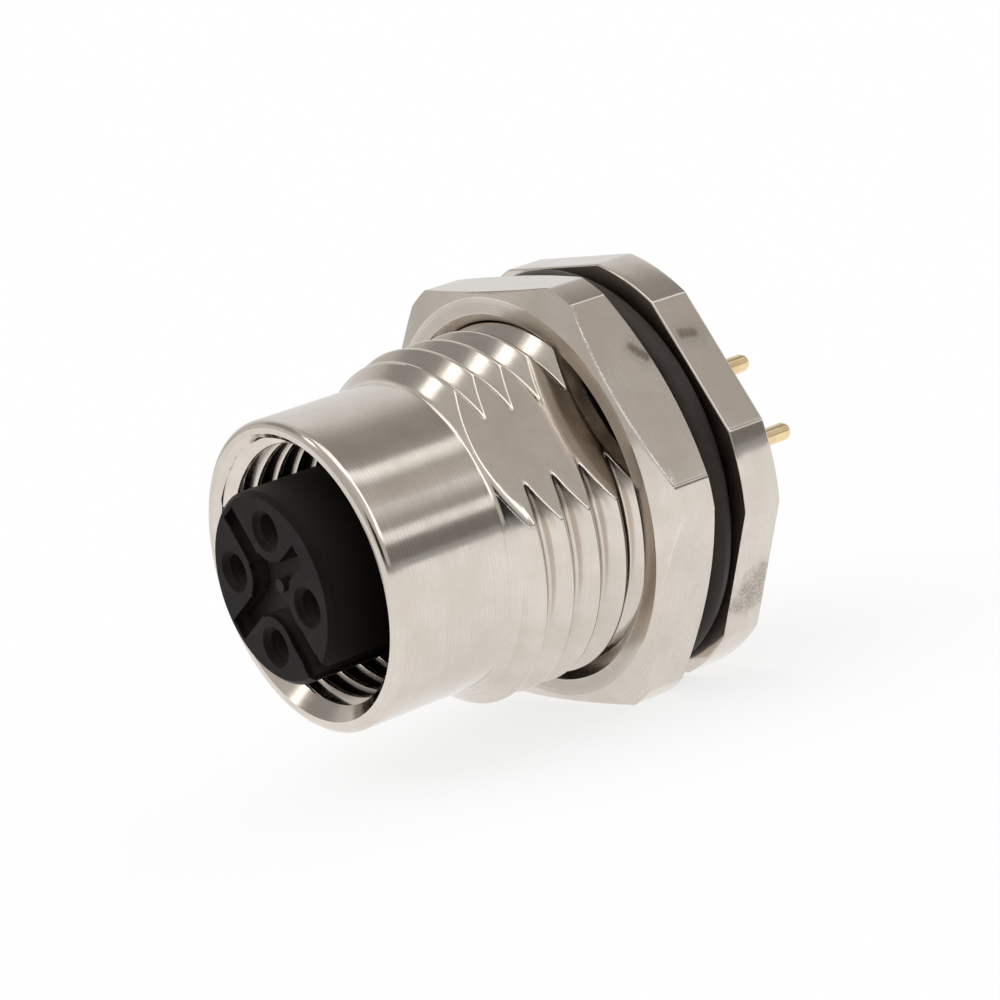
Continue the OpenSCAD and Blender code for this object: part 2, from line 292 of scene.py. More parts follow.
def nickelFinish(name, spots):
    # turned and nickel-plated brass: lathe lines that run round on the walls and in rings on the faces,
    # cloudy plating, grime and painted shade in the grooves, painted highlights on rubbed edges, and
    # smudges and painted reflections at given places
    look = nickelLook
    finish, pen, place, x, y, z = startFinish(name)
    reach = (x * x + z * z) ** 0.5
    lines = pen.node("ShaderNodeCombineXYZ", {}, {0: y * look["lines"], 1: reach * look["lines"], 2: 0.0})
    fine = lines.grain(1.0, 3.0, 0.65)
    coarse = lines.grain(0.23, 2.0, 0.5)
    feed = (y + reach) * (2 * math.pi / look["feed"]) + coarse * 6.0
    feed = feed.maths("SINE", feed) * 0.5 + 0.5
    clouds = place.grain(look["clouds"], 4.0, 0.6)
    mottle = place.grain(look["mottle"], 4.0, 0.62)
    specks = place.grain(look["specks"], 3.0, 0.7)
    groove = pen.node("ShaderNodeAttribute", {"attribute_name": "groove"}, out=2)
    edge = pen.node("ShaderNodeAttribute", {"attribute_name": "edge"}, out=2)
    whole = 1 - specks.rise(0.4, 0.56)  # gaps in the painted edge highlight, where a rubbed edge has kept its plating
    edge = (edge * 1.3 - 0.6 * edge.rise(0.0, 0.1) * whole).rise(0.0, 1.0)
    # painted shade and grime from the groove mark; the spots add smudges and painted reflections
    smudgesAndPaintedShade = groove * (1 - 0.35 * groove * mottle.rise(0.42, 0.66))
    for start, end, size, weight, mottling in spots:
        away = awayFrom(pen, place, start, end) / size + (mottle - 0.5) * mottling
        patch = (1 - away).rise(0.0, 0.8) * (1 - 0.35 * mottling * specks.rise(0.45, 0.6))
        smudgesAndPaintedShade = smudgesAndPaintedShade.least(patch * weight)
    smudgesAndPaintedShade = smudgesAndPaintedShade.most(1.0)
    colour = clouds.rise(0.3, 0.72).tint(look["bright"], look["worn"])
    marks = coarse.rise(0.5, 0.8) * 0.25 + feed * fine.rise(0.35, 0.6) * 0.7
    colour = marks.tint(colour, look["worn"])
    colour = smudgesAndPaintedShade.tint(colour, look["grimeAndPaintedShade"])
    # painted shade: near black where the groove mark is strongest
    colour = groove.rise(0.8, 0.97).tint(colour, look["deep"])
    # painted highlight along the edge mark
    colour = edge.tint(colour, look["rubbedHighlight"])
    rough = look["roughness"] + (clouds - 0.5) * 0.08 + (coarse - 0.5) * 0.08 + smudgesAndPaintedShade * 0.25 + edge * 0.3
    height = fine * 0.5 + coarse * 0.6 + feed * 0.12 + specks * 0.12
    inputs = {"Base Color": colour, "Metallic": 1.0, "Roughness": rough}
    return closeFinish(finish, pen, inputs, height, look["bump"], look["bumpStrength"])


rubberLook = {
    "dark": (0.028, 0.021, 0.018), "bloom": (0.046, 0.0355, 0.031), "dust": (0.058, 0.049, 0.045),
    "roughness": 0.52, "specular": 0.25, "bloomGrain": 0.8, "dustGrain": 14.0,
    "bump": 0.00001, "bumpStrength": 0.5,
}


def rubberFinish(name):
    # black moulded rubber with a fine bloom and dust caught on it
    look = rubberLook
    finish, pen, place = startFinish(name)[:3]
    bloom = place.grain(look["bloomGrain"], 4.0, 0.6)
    grit = place.grain(look["dustGrain"], 3.0, 0.6)
    colour = bloom.rise(0.3, 0.75).tint(look["dark"], look["bloom"])
    colour = grit.rise(0.66, 0.78).tint(colour, look["dust"])
    inputs = {"Base Color": colour, "Roughness": look["roughness"] + (bloom - 0.5) * 0.3,
              "Specular IOR Level": look["specular"]}
    return closeFinish(finish, pen, inputs, grit * 0.7 + bloom, look["bump"], look["bumpStrength"])


plasticLook = {
    "side": (0.0150, 0.0121, 0.0105),     # the tower's wall, painted lighter than the face as painted fill light
    "recess": (0.044, 0.036, 0.032),      # painted fill light: the recess and the passages painted lighter against their shade
    "face": (0.0105, 0.0086, 0.0076),     # the rubbed face
    "fleck": (0.040, 0.035, 0.032),       # glass that shows on the face
    "rear": 0.5,                          # how much lighter the rear is
    "recessReach": 3.95,                  # radius inside which the recess is painted lighter
    "towerRise": (9.0, 10.0), "faceRise": (16.7, 17.1),   # heights where each begins
    "roughness": 0.46, "specular": 0.08, "grain": 16.0, "clouds": 0.9,
    "bump": 0.000012, "bumpStrength": 0.6,
}


def plasticFinish(name):
    # black glass-filled plastic: a fine moulded grain, painted fill light in the hollows and on the wall,
    # and flecks on the face
    look = plasticLook
    finish, pen, place, x, y, z = startFinish(name)
    grain = place.grain(look["grain"], 3.0, 0.65)
    cloud = place.grain(look["clouds"], 3.0, 0.55)
    worn = (0 - y).rise(*look["faceRise"]) * (0.7 + 0.6 * cloud.rise(0.3, 0.7))
    worn = worn.most(1.0)
    inside = (look["recessReach"] - (x * x + z * z) ** 0.5).rise(0.0, 0.1)
    # painted fill light in the recess and the passages; the rear lighter as well
    paintedFillAndRear = inside * (0 - y).rise(*look["towerRise"]) + y.rise(0.0, 1.0) * look["rear"]
    colour = paintedFillAndRear.tint(look["side"], look["recess"])
    colour = worn.tint(colour, look["face"])
    colour = (grain.rise(0.62, 0.8) * 0.4 * worn).tint(colour, look["fleck"])
    inputs = {"Base Color": colour, "Roughness": look["roughness"] + (grain - 0.5) * 0.25,
              "Specular IOR Level": look["specular"]}
    return closeFinish(finish, pen, inputs, grain, look["bump"], look["bumpStrength"])


goldLook = {
    "bright": (0.86, 0.69, 0.42), "dull": (0.74, 0.56, 0.31), "line": (0.55, 0.39, 0.20),
    "roughness": 0.24, "along": 12.0, "across": 0.4, "clouds": 1.3,
    "bump": 0.000004, "bumpStrength": 0.5,
}


def goldFinish(name):
    # thin gold over turned brass, with lathe lines round each contact
    look = goldLook
    finish, pen, place, x, y, z = startFinish(name)
    lines = pen.node("ShaderNodeCombineXYZ", {}, {0: x * look["across"], 1: y * look["along"],
                                                  2: z * look["across"]}).grain(1.0, 3.0, 0.6)
    cloud = place.grain(look["clouds"], 3.0, 0.6)
    colour = cloud.rise(0.3, 0.72).tint(look["bright"], look["dull"])
    colour = (lines.rise(0.58, 0.75) * 0.5).tint(colour, look["line"])
    inputs = {"Base Color": colour, "Metallic": 1.0, "Roughness": look["roughness"] + (cloud - 0.5) * 0.2}
    return closeFinish(finish, pen, inputs, lines, look["bump"], look["bumpStrength"])


# smudges and painted reflections: the two ends of a streak, its size and weight, and how mottled it is
smudgesAndPaintedReflections = {
    "shell": [
        ((7.07, 0.55, 5.76), (7.12, 1.08, 5.67), 0.40, 0.95, 0.5),
        ((7.11, 0.6, 5.69), (7.14, 1.3, 5.6), 0.9, 0.25, 0.8),
        # the flange's lower flat: a painted reflection of a dark mottled surface, not a stain
        ((7.23, 1.15, -5.47), (7.23, 1.15, -5.47), 1.5, 0.6, 1.6),
        ((7.0, 0.5, -5.9), (7.0, 0.5, -5.9), 0.9, 0.55, 1.6),
        ((7.5, 1.5, -5.0), (7.5, 1.5, -5.0), 1.1, 0.55, 1.6),
    ],
    "nut": [
        ((7.04, -2.14, 5.89), (7.32, -1.72, 5.37), 0.38, 1.0, 0.5),
        ((7.1, -1.9, 5.7), (7.3, -1.6, 5.4), 1.0, 0.3, 0.8),
    ],
}
finishes = {
    "shell": nickelFinish("shellNickel", smudgesAndPaintedReflections["shell"]),
    "nut": nickelFinish("nutNickel", smudgesAndPaintedReflections["nut"]),
    "rubber": rubberFinish("ringRubber"),
    "plastic": plasticFinish("insertPlastic"),
    "gold": goldFinish("contactGold"),
}
print("finishes made")


panelThread = {"pitch": 1.411, "crest": 7.6, "root": 6.927, "rounding": 0.151, "flank": 40, "start": 7.776}
couplingThread = {"pitch": 1.0, "crest": 5.459, "root": 6.0, "rounding": 0.07, "flank": 30, "start": 9.6}
hexFlats = {"half": 9.0, "turn": 30, "bevel": 0.08, "edgeRound": 0.03}
shellSizes = {
    "sleeve": 6.65, "mouth": 15.8, "rimRound": 0.35, "mouthBore": 6.108, "lip": 0.02, "mouthRound": 0.03,
    "threadEnd": 10.0, "leadRound": 0.12, "fillet": 0.12,
    "relief": 0.35, "reliefRun": 0.8,                       # where the thread fades out at the flange
    "keyFlat": 6.75, "keyTurn": 30, "edgeRound": 0.055, "fold": 38,
    "corner": 9.54, "flangeRear": -1.9, "flangeFoot": 0.18,
    "rearBore": 6.0, "rearBevel": 0.15, "webRear": 6.6, "webFront": 8.2, "towerBore": 4.13,
    "boreRow": 2.0, "webRing": 4.8, "crestRow": 8.7,        # added rows that keep the faces short
    "couplingFoot": 8.8, "couplingFade": 0.9, "mouthFade": 0.45,
    "columns": {
        "zone": 38.0,                                       # degrees beside the key flat where they move
        "near": [1.0, 0.5, 0.0, -0.5, -1.0],                # degrees inside an edge of the key flat
        "across": [0.22, 0.44, 0.66, 0.86],                 # shares of the way out to that edge
        "beyond": [0.12, 0.25, 0.4, 0.55, 0.7, 0.85],       # shares of the way on to the zone's end
        "step": 2.5, "apart": 0.5, "cornerStep": 0.3, "endGap": 0.02,
        "sleeveSpread": 3.0, "boreSpread": 13.0,            # where they gather on rows without the flat
    },
    "wearAndPaintedLight": {
        "rubbedHighlight": 0.9,                                      # width of the painted highlight along the flat's rubbed edges, in degrees
        # painted shade deeper in the grooves, in the wedge below the key flat and on the web; the rear bore
        # a little darker
        "groove": 0.08, "wedgeShade": 0.96, "wedgeShadeReach": 8.5, "wedgeShadeFade": 5.0,
        "rearBore": 0.2, "web": 0.9,
        # painted shade at the inner thread's roots, starting this far behind the mouth
        "rootShadeFrom": 1.45, "rootShadeFade": 0.3, "rootShadeDepth": 0.05, "rootShadeRun": 0.15,
    },
}


def fromFlat(turn):
    # angle from the nearest flat of the hexagon, in degrees
    return (turn - hexFlats["turn"] + 30) % 60 - 30


def hexReach(turn, corner, inset):
    # how far the hexagon reaches at each turn: its flats, or the turned corner where that is nearer
    flat = (hexFlats["half"] - inset) / np.cos(np.radians(fromFlat(turn)))
    return softMin(flat, np.broadcast_to(corner - inset, flat.shape), hexFlats["edgeRound"])


def edgeAngle(corner):
    # angle from a flat's middle to the edge where the turned corner takes over
    return math.degrees(math.acos(hexFlats["half"] / corner))


def shellColumns(low, high):
    # one row of turns for each pair of key-flat edges, which lie low and high degrees from its middle:
    # some columns spread across the flat, some crowd along its two edges, and the rest stay put
    plan = shellSizes["columns"]
    zone = plan["zone"]
    near, across, beyond = (np.array(plan[part])[None, :] for part in ("near", "across", "beyond"))

    def oneSide(spread):
        spread = np.asarray(spread, float)[:, None]
        edge = spread - near
        last = edge[:, -1:]
        return np.concatenate([across * (spread - near[:, :1]), edge, last + beyond * (zone - last)], 1)

    hexEdge = edgeAngle(shellSizes["corner"])
    beside = np.array([-plan["cornerStep"], 0.0, plan["cornerStep"]])
    exact = (60 * np.arange(1, 6)[:, None] + np.append(beside - hexEdge, beside + hexEdge)).ravel()
    exact = exact[(exact > zone) & (exact < 360 - zone)]
    fixed = np.arange(zone, 360 - zone + 0.01, plan["step"])
    clear = np.abs(fixed[:, None] - exact[None, :]).min(1) > plan["apart"]
    fixed = np.sort(np.append(fixed[clear], exact))
    rows = len(low)
    turn = np.concatenate([np.zeros((rows, 1)), oneSide(high), np.repeat(fixed[None, :], rows, 0),
                           360 - oneSide(low)[:, ::-1], np.full((rows, 1), 360.0)], 1)
    return turn + shellSizes["keyTurn"]


def plainColumns(count, spread):
    # the same turns for every row
    return shellColumns(np.full(count, spread), np.full(count, spread))


def bareThread(profile, height, turn):
    # the panel thread without its key flat: as cut, and with its faded end and its turned start
    sizes, thread = shellSizes, panelThread
    cut = threadLevel(profile, thread, height, turn)
    fade = unit((height - sizes["relief"]) / sizes["reliefRun"])
    cut = thread["root"] + (cut - thread["root"]) * fade
    start = sizes["sleeve"] + (sizes["threadEnd"] - height)
    return cut, softMin(cut, start, sizes["leadRound"])


def panelRows(fore):
    # rows of the panel thread: the nearest of the thread, its turned start and the key flat. Each row
    # follows the thread, and its columns meet the key flat's edges, apart from the rows that are held
    # at an end of the thread
    sizes, thread = shellSizes, panelThread
    plan, wearAndPaintedLight = sizes["columns"], sizes["wearAndPaintedLight"]
    pitch, zone, spare, gap = thread["pitch"], plan["zone"], plan["sleeveSpread"], plan["endGap"]
    farOff = 99.0
    profile = threadTurn(thread, 6, 6)
    free = threadRows(profile, thread, -50, 50, np.zeros(1))[1:-1, 0]  # every row's height at turn zero
    free = free[(free > -2 * pitch) & (free < fore)][::-1]
    spreads = []
    for side in (-1, 1):
        spread = np.full(len(free), 20.0)  # a first guess, which the rounds improve
        for again in range(12):
            turn = sizes["keyTurn"] + side * spread
            reach = bareThread(profile, free + pitch * turn / 360, turn)[1]
            spread = np.degrees(np.arccos(sizes["keyFlat"] / np.maximum(reach, sizes["keyFlat"])))
        spreads.append(np.maximum(spread, spare))
    first = free + pitch * (sizes["keyTurn"] - zone) / 360
    last = free + pitch * (sizes["keyTurn"] + zone) / 360
    held = (first < gap) | (last > fore - gap)
    turn = shellColumns(*(np.where(held, spare, spread) for spread in spreads))
    height = np.clip(free[:, None] + pitch * turn / 360, 0.0, fore)
    cut, radius = bareThread(profile, height, turn)
    aside = (turn - sizes["keyTurn"] + 180) % 360 - 180
    flat = sizes["keyFlat"] / np.cos(np.radians(np.clip(aside, -60, 60)))
    flat = np.where(np.abs(aside) < 60, flat, farOff)
    inGroove = (flat > radius) & (radius > cut - 0.05)  # not on the flat or the turned start
    radius = softMin(radius, flat, sizes["edgeRound"])
    radius = softMax(radius, np.full_like(radius, sizes["sleeve"]), sizes["fillet"])

    # painted highlights along the key flat's edges, also rougher as if rubbed; painted shade deeper in the
    # grooves, and more in the wedge where they run out below it
    low, high = (np.where(held, farOff, spread)[:, None] for spread in spreads)
    rubbedHighlight = unit(1 - np.abs(np.abs(aside) - np.where(aside > 0, high, low)) / wearAndPaintedLight["rubbedHighlight"])
    depth = unit((thread["crest"] - cut) / (thread["crest"] - thread["root"]))
    # painted shade: the dark wedge where the grooves run out below the key flat
    wedgeShade = unit((wearAndPaintedLight["wedgeShadeReach"] + low + aside) / wearAndPaintedLight["wedgeShadeFade"]) * (aside < 0)
    wedgeShade = wedgeShade * unit(depth * 1.5 - 0.3)
    grimeAndPaintedShade = np.maximum(wearAndPaintedLight["groove"] * depth ** 3, wearAndPaintedLight["wedgeShade"] * wedgeShade) * inGroove
    return turn, radius, height, grimeAndPaintedShade, rubbedHighlight


def buildShell():
    # rings of points run from the rim back along the outside, over the flange, up the rear bore and out
    # through the coupling thread, where the last row meets the first
    sizes, inner = shellSizes, couplingThread
    plan, wearAndPaintedLight = sizes["columns"], sizes["wearAndPaintedLight"]
    stores = [[], [], [], [], []]

    def add(turn, radius, height, grimeAndPaintedShade=0.0, rubbedHighlight=0.0):
        for store, values in zip(stores, (turn, radius, height, grimeAndPaintedShade, rubbedHighlight)):
            store.append(np.broadcast_to(values, turn.shape))

    # rim, a quarter circle, and sleeve
    swing = np.radians(np.linspace(0, 90, 9))
    rimR = sizes["sleeve"] - sizes["rimRound"] * (1 - np.sin(swing))
    rimH = sizes["mouth"] - sizes["rimRound"] * (1 - np.cos(swing))
    fore = sizes["threadEnd"] + sizes["fillet"]
    sleeveH = np.linspace(rimH[-1], fore, 10)[1:]
    lip = [sizes["mouthBore"] + sizes["lip"], (sizes["mouthBore"] + rimR[0]) / 2]
    radius = np.concatenate([lip, rimR, np.full(len(sleeveH), sizes["sleeve"])])
    height = np.concatenate([[sizes["mouth"]] * 2, rimH, sleeveH])
    add(plainColumns(len(radius), plan["sleeveSpread"]), radius[:, None], height[:, None])
    add(*panelRows(fore))

    # flange: front face, rounded edge, flats and turned corners, rear face
    corner, bevel, rear = sizes["corner"], hexFlats["bevel"], sizes["flangeRear"]
    foot = panelThread["root"] - sizes["flangeFoot"]
    swing = np.radians(np.linspace(0, 90, 7))
    drop = bevel * (1 - np.cos(swing))
    inset = bevel * (1 - np.sin(swing))
    side = np.linspace(-bevel, rear + bevel, 6)[1:-1]
    insets = np.concatenate([inset, np.zeros(len(side)), inset[::-1]])
    drops = np.concatenate([-drop, side, rear + drop[::-1]])
    faceTurn = plainColumns(1, edgeAngle(corner))
    turn = plainColumns(len(insets), edgeAngle(corner))
    outline = hexReach(faceTurn, corner, bevel)
    heel = sizes["rearBore"] + 0.2
    add(faceTurn, foot + (outline - foot) * 0.3, 0.0)
    add(faceTurn, foot + (outline - foot) * 0.7, 0.0)
    add(turn, hexReach(turn, corner, insets[:, None]), drops[:, None])
    add(faceTurn, heel + (outline - heel) * 0.6, rear)
    add(faceTurn, heel + (outline - heel) * 0.25, rear)

    # rear bore, web and the tower's hole, as pairs of radius and height
    bore, bevel, hole = sizes["rearBore"], sizes["rearBevel"], sizes["towerBore"]
    back, front = sizes["webRear"], sizes["webFront"]
    radius, height = np.array([
        (bore + bevel, rear), (bore, rear + bevel), (bore, sizes["boreRow"]), (bore, back),
        (hole, back), (hole, front), (sizes["webRing"], front),
        (inner["crest"], front), (inner["crest"], sizes["crestRow"]),
    ]).T
    # painted shade on the web at the floor of the mouth; the rear bore a little darker
    grimeAndPaintedShade = np.where(height > back + 0.1, wearAndPaintedLight["web"], wearAndPaintedLight["rearBore"])
    add(plainColumns(len(radius), plan["boreSpread"]), radius[:, None], height[:, None], grimeAndPaintedShade[:, None])

    # coupling thread: it fades out at its inner end, and the mouth's lead cuts its start
    profile = threadTurn(inner, 3, 3)
    turn = plainColumns(1, plan["boreSpread"])
    foot, mouth = sizes["couplingFoot"], sizes["mouth"]
    height = threadRows(profile, inner, foot, mouth, turn[0])
    cut = threadLevel(profile, inner, height, turn)
    fade = np.minimum((height - foot) / sizes["couplingFade"], (mouth - height) / sizes["mouthFade"])
    fade = unit(fade)
    cut = inner["crest"] + (cut - inner["crest"]) * fade * fade * (3 - 2 * fade)
    lead = sizes["mouthBore"] - (mouth - height)
    # painted shade: the inner thread's roots darken deeper than the mouth's lead
    rootShade = unit((cut - np.maximum(lead, inner["crest"]) - wearAndPaintedLight["rootShadeDepth"]) / wearAndPaintedLight["rootShadeRun"])
    rootShade = rootShade * unit((mouth - wearAndPaintedLight["rootShadeFrom"] - height) / wearAndPaintedLight["rootShadeFade"])
    add(np.broadcast_to(turn, height.shape), softMax(cut, lead, sizes["mouthRound"]), height, rootShade)

    turn, radius, height, grimeAndPaintedShade, rubbedHighlight = (np.concatenate(store) for store in stores)
    shell = putGrid("shell_turned", radius, height, turn, sizes["fold"],
                    {"groove": grimeAndPaintedShade, "edge": rubbedHighlight})
    fitPiece(shell, "shell", "shell", "socket")


buildShell()


nutSizes = {
    "rear": 1.5, "front": 4.3, "corner": 10.0, "turned": -1.4,
    "bevelHeight": 0.5, "frontLean": 22.4, "rearLean": 27.0, "edgeRound": 0.05, "fold": 22,
    "sink": 8.05, "rearSink": 8.0, "sinkRound": 0.04, "clear": 0.05, "minor": 7.22, "minorRound": 0.06,
    "gather": [-0.8, -0.4, 0.0, 0.4, 0.8],                  # degrees beside a flat's edge for columns
    "narrowest": 3.0,                                       # least angle from a flat's middle to them
    "rings": [0.12, 0.5, 0.88], "ringEdges": [20.0, 14.0, 8.0],   # rows of the two faces
    "wearAndPaintedLight": {
        "turn": 20, "least": 0.05, "rear": 0.3,             # the side whose painted edge highlights are brightest, and the others' share
        "onFlat": 0.16, "onBevel": 0.06,                    # width of the painted highlight lines
        # grime on the face; a base darkening in the countersinks and bore, with painted shade deeper into
        # the bore that varies by turn
        "face": [0.35, 0.32, 0.2], "sink": 0.2, "bore": 0.55, "boreRun": 0.35,
        "boreShadeTurns": [-90, -60, -5, 20, 60, 90], "boreShadeByTurn": [0, 0.12, 0.12, -0.35, -0.35, 0],
    },
}


def nutColumns(edge):
    # one row of turns for each edge angle: across a flat the columns spread out to the edge of the flat,
    # some crowd along that edge, and the rest share the corner, so a column follows the curved edge
    edge = np.asarray(edge, float)[:, None]
    near = np.array(nutSizes["gather"])
    reach = near[-1]
    flat = np.linspace(-1, 1, 11)[None, 1:-1] * (edge - reach)
    corner = edge + reach + np.arange(1, 9)[None, :] / 8 * (30 - reach - edge)
    right = np.concatenate([edge + near, corner], 1)
    sector = np.concatenate([-right[:, -2::-1], flat, right], 1)
    turn = (60 * np.arange(6)[None, :, None] + sector[:, None, :]).reshape(len(edge), -1)
    turn = np.concatenate([np.full((len(edge), 1), -30.0), turn], 1)
    return turn + hexFlats["turn"] + nutSizes["turned"]


def bevelRows(lean):
    # rows down a bevel cone from the nut's face: the cone's radius at the face and its slope, and for
    # each row the angle of the edge where it meets the flats, its radius and its drop
    sizes, half = nutSizes, hexFlats["half"]
    slope = math.tan(math.radians(lean))
    face = sizes["corner"] - sizes["bevelHeight"] / slope
    start = max(sizes["narrowest"], edgeAngle(max(face, half)))
    edge = np.linspace(start, edgeAngle(sizes["corner"]), 11)
    ring = np.linspace(face, half, 4)[:-1] if face < half else np.zeros(0)
    blank = np.append(ring, half / np.cos(np.radians(edge)))
    edge = np.append(np.full(len(ring), start), edge)
    return face, slope, edge, blank, (blank - face) * slope


def buildNut():
    # rings of points run from the rear countersink through the bore, over the front face, down the
    # outside and back across the rear face
    sizes, wearAndPaintedLight = nutSizes, nutSizes["wearAndPaintedLight"]
    front, rear = sizes["front"], sizes["rear"]

    # outside: each bevel cone meets the flats along curved edges, row by row
    frontFace, frontSlope, frontEdge, frontBlank, frontDrop = bevelRows(sizes["frontLean"])
    rearFace, rearSlope, rearEdge, rearBlank, rearDrop = bevelRows(sizes["rearLean"])
    middle = np.linspace(front - sizes["bevelHeight"], rear + sizes["bevelHeight"], 6)[1:-1]
    between = np.ones(len(middle))
    height = np.concatenate([front - frontDrop, middle, rear + rearDrop[::-1]])
    blank = np.concatenate([frontBlank, between * sizes["corner"], rearBlank[::-1]])
    turn = nutColumns(np.concatenate([frontEdge, between * frontEdge[-1], rearEdge[::-1]]))
    flat = hexFlats["half"] / np.cos(np.radians(fromFlat(turn - sizes["turned"])))
    outR = softMin(flat, np.broadcast_to(blank[:, None], flat.shape), sizes["edgeRound"])
    outH = np.broadcast_to(height[:, None], flat.shape)

    # painted highlight lines where the bevels meet the flats, also rougher as if rubbed: strongest on the
    # side that faces the light, weaker at the rear
    below = np.minimum(front - (flat - frontFace) * frontSlope - outH,
                       outH - rear - np.maximum(flat - rearFace, 0) * rearSlope)
    rubbedHighlight = unit(np.where(below > 0, 1 - below / wearAndPaintedLight["onFlat"], 1 + below / wearAndPaintedLight["onBevel"]))
    facing = (0.5 + 0.5 * np.cos(np.radians(turn - wearAndPaintedLight["turn"]))) ** 8
    rubbedHighlight = rubbedHighlight * (wearAndPaintedLight["least"] + (1 - wearAndPaintedLight["least"]) * facing) * (flat < sizes["corner"])
    rubbedHighlight = rubbedHighlight * np.where(outH > (front + rear) / 2, 1.0, wearAndPaintedLight["rear"])

    # faces, as rings between the countersinks and the bevels
    rings = np.array(sizes["rings"])[:, None]
    ringTurn = nutColumns(sizes["ringEdges"])
    frontR = sizes["sink"] + (outR[0] - sizes["sink"]) * rings
    rearR = outR[-1] + (sizes["rearSink"] - outR[-1]) * rings

    # bore: the panel thread with its clearance, cut off at the minor diameter, between countersinks
    boreTurn = ringTurn[:1]
    profile = threadTurn(panelThread, 4, 3)
    boreH = threadRows(profile, panelThread, rear, front, boreTurn[0])
    cut = threadLevel(profile, panelThread, boreH, boreTurn) + sizes["clear"]
    boreR = softMax(cut, np.full_like(cut, sizes["minor"]), sizes["minorRound"])
    boreR = softMax(boreR, sizes["sink"] - (front - boreH), sizes["sinkRound"])
    boreR = softMax(boreR, sizes["rearSink"] - (boreH - rear), sizes["sinkRound"])
    boreR = np.where(boreH > front - 1e-9, sizes["sink"], boreR)
    boreR = np.where(boreH < rear + 1e-9, sizes["rearSink"], boreR)
    # painted shade deeper into the bore, more on some sides than others
    aside = (boreTurn - hexFlats["turn"] + 180) % 360 - 180
    boreShadeByTurn = np.interp(aside, wearAndPaintedLight["boreShadeTurns"], wearAndPaintedLight["boreShadeByTurn"])
    boreGrimeAndShade = wearAndPaintedLight["sink"] + unit((front - boreH) / wearAndPaintedLight["boreRun"]) * (wearAndPaintedLight["bore"] + boreShadeByTurn)

    turns = np.concatenate([np.broadcast_to(boreTurn, boreH.shape), ringTurn, turn, ringTurn[::-1]])
    radius = np.concatenate([boreR, frontR, outR, rearR])
    heights = np.concatenate([boreH, np.full(frontR.shape, front), outH, np.full(rearR.shape, rear)])
    faceGrime = level(wearAndPaintedLight["face"], radius.shape[1])
    grimeAndPaintedShade = np.concatenate([boreGrimeAndShade, faceGrime, np.zeros(outR.shape), np.zeros(rearR.shape)])
    edges = np.concatenate([np.zeros(boreR.shape), np.zeros(frontR.shape), rubbedHighlight, np.zeros(rearR.shape)])
    nut = putGrid("lock_nut_threaded", radius, heights, turns, sizes["fold"],
                  {"groove": grimeAndPaintedShade, "edge": edges})
    fitPiece(nut, "nut", "lock_nut", "nut")


buildNut()


ringSizes = {"mid": 8.35, "height": 0.75, "section": 0.688, "seam": 0.011, "seamWidth": 5.0, "fold": 60}


def buildRing():
    # a round section carried round the axis, with a thin parting seam along its inner and outer edge
    sizes = ringSizes
    swing = np.linspace(0, 360, 73)[:-1]
    turn = np.linspace(0, 360, 181)
    away = (swing + 90) % 180 - 90
    thick = sizes["section"] + sizes["seam"] * np.exp(-(away / sizes["seamWidth"]) ** 2)
    radius = level(sizes["mid"] + thick * np.cos(np.radians(swing)), len(turn))
    height = level(sizes["height"] + thick * np.sin(np.radians(swing)), len(turn))
    turns = np.broadcast_to(turn, radius.shape)
    ring = putGrid("panel_ring", radius, height, turns, sizes["fold"])
    fitPiece(ring, "rubber", "panel_seal", "seal_ring")


buildRing()


insertLook = {"rounding": 0.08, "steps": 3, "fold": 32, "merge": 1e-6, "flatWithin": 0.5}


def buildInsert():
    # the solid's own skin, merged and freed of its flat triangles, with every moulded edge rounded
    look = insertLook
    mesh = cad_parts["contact_insert"].data.copy()
    mesh.materials.clear()
    work = bmesh.new()
    work.from_mesh(mesh)
    bmesh.ops.remove_doubles(work, verts=work.verts, dist=look["merge"])
    bmesh.ops.dissolve_limit(work, angle_limit=math.radians(look["flatWithin"]), verts=work.verts,
                             edges=work.edges)
    work.to_mesh(mesh)
    work.free()
    if "custom_normal" in mesh.attributes:
        mesh.attributes.remove(mesh.attributes["custom_normal"])
    insert = finishMesh("insert_moulded", mesh, look["fold"])
    rounding = insert.modifiers.new("rounding", "BEVEL")
    rounding.width = look["rounding"] * mm
    rounding.segments = look["steps"]
    rounding.limit_method = "ANGLE"
    rounding.angle_limit = math.radians(look["fold"])
    fitPiece(insert, "plastic", "contact_insert", "socket")


buildInsert()


contactSizes = {
    "circle": 2.55, "turn": 75, "tip": -8.8, "tail": 0.4, "tailMid": -5.0, "tailEnd": -1.5,
    "stem": 0.8, "stemBevel": 0.06, "stemEnd": 3.84, "shoulder": 1.15, "shoulderBevel": 0.05,
    "shoulderEnd": 4.64, "barrel": 0.85, "barrelBevel": 0.08, "mouth": 16.2, "lead": 0.1, "leadDepth": 0.12,
    "socket": 0.48, "socketEnd": 10.7, "slit": 0.15, "slitReach": 0.66, "slitLength": 3.6, "slitStep": 0.4,
    "fold": 35,
}


